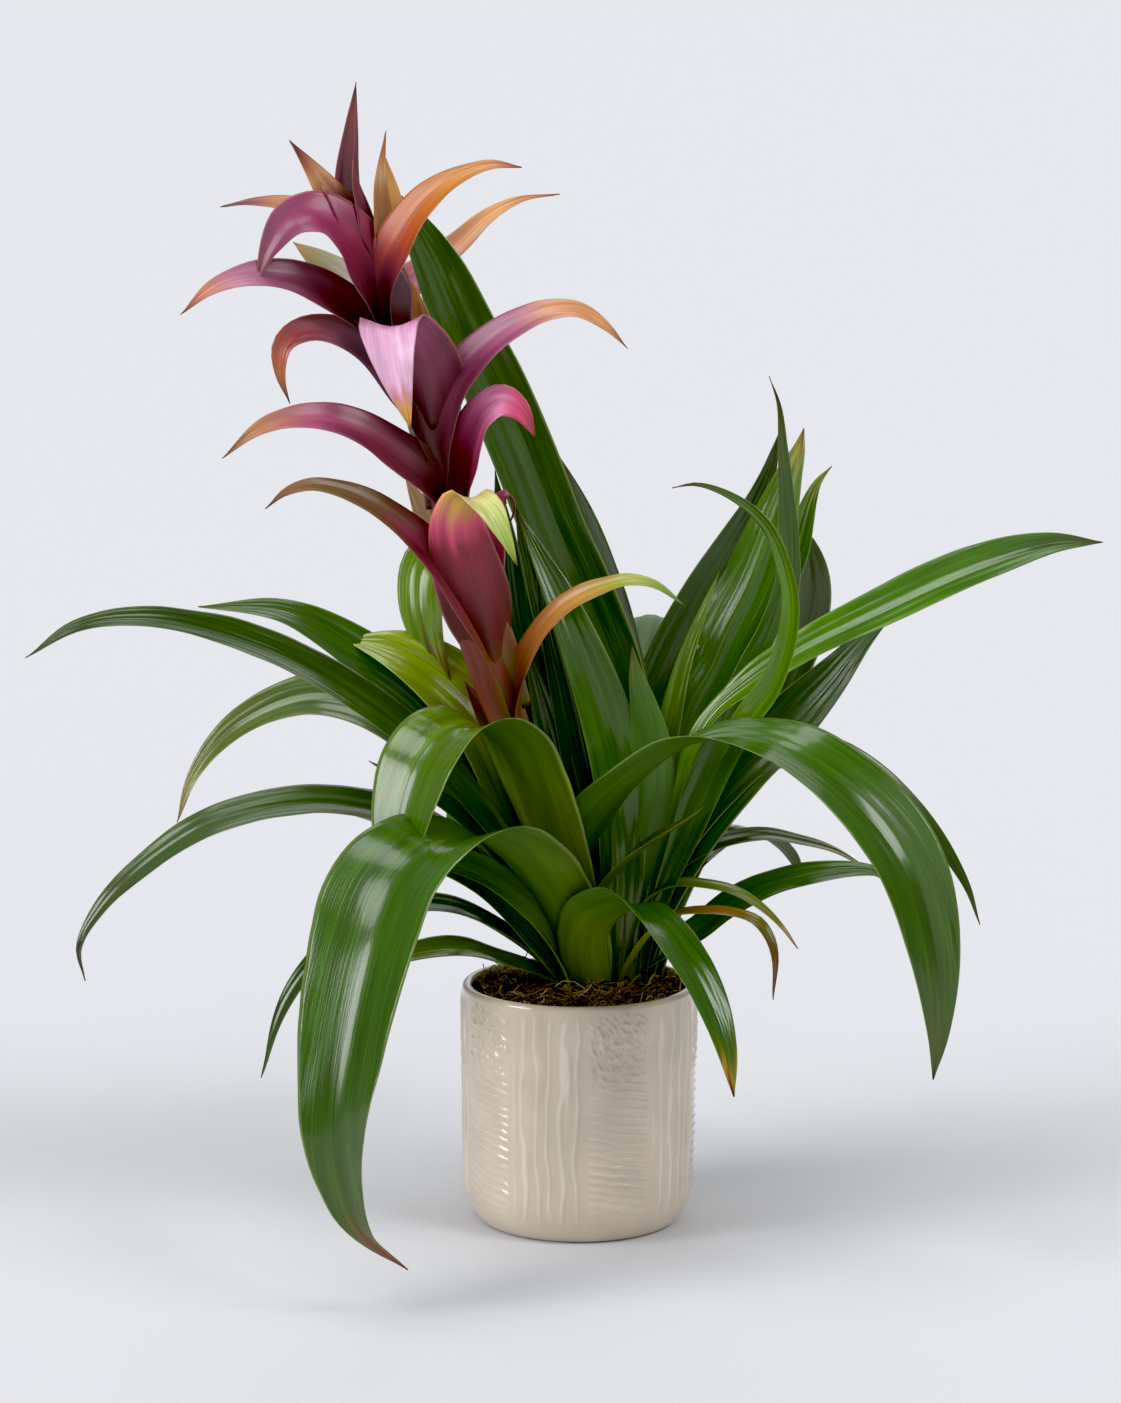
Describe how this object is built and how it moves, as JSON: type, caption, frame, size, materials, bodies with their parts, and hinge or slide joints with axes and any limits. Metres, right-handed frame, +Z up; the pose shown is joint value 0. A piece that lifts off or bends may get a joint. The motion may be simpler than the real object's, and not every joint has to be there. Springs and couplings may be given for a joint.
{
  "type": "potted guzmania",
  "caption": "Bromeliad with strap leaves and a tall spike of coloured bracts beside a leafy side rosette, standing in a glazed ribbed ceramic pot filled with coir.",
  "frame": {"origin": "middle of the pot's flat underside", "axes": "+Z up, +Y away from the front view, +X to the right in the front view"},
  "size_m": [0.5879, 0.4419, 0.6388],
  "materials": {
    "glaze": "beige glazed ceramic, glossy",
    "coir": "dark brown loose coir and bark, matte",
    "bract": "magenta to purple waxy bracts on an olive stalk",
    "stem": "olive green fibrous stem",
    "leaf": "deep green waxy leaf with a satin sheen"
  },
  "bodies": {
    "root": {"pot": "glaze", "growing_medium": "coir", "flower_spike": "bract", "side_stem": "stem", "leaf_left_01": "leaf", "leaf_left_02": "leaf", "leaf_left_03": "leaf", "leaf_left_04": "leaf", "leaf_left_05": "leaf", "leaf_left_06": "leaf", "leaf_left_07": "leaf", "leaf_left_08": "leaf", "leaf_left_09": "leaf", "leaf_left_10": "leaf", "leaf_left_11": "leaf", "leaf_left_12": "leaf", "leaf_left_13": "leaf", "leaf_left_14": "leaf", "leaf_left_15": "leaf", "leaf_right_01": "leaf", "leaf_right_02": "leaf", "leaf_right_03": "leaf", "leaf_right_04": "leaf", "leaf_right_05": "leaf", "leaf_right_06": "leaf", "leaf_right_07": "leaf", "leaf_right_08": "leaf", "leaf_right_09": "leaf", "leaf_right_10": "leaf", "leaf_right_11": "leaf", "leaf_right_12": "leaf", "leaf_right_13": "leaf", "leaf_right_14": "leaf", "leaf_right_15": "leaf", "leaf_right_16": "leaf", "leaf_right_17": "leaf", "leaf_right_18": "leaf", "leaf_right_19": "leaf", "leaf_right_20": "leaf", "leaf_right_21": "leaf", "leaf_right_22": "leaf", "leaf_right_23": "leaf", "leaf_right_24": "leaf", "leaf_rear_01": "leaf", "leaf_rear_02": "leaf", "leaf_rear_03": "leaf", "leaf_rear_04": "leaf", "leaf_rear_05": "leaf", "leaf_rear_06": "leaf", "leaf_rear_07": "leaf"}
  },
  "joints": []
}
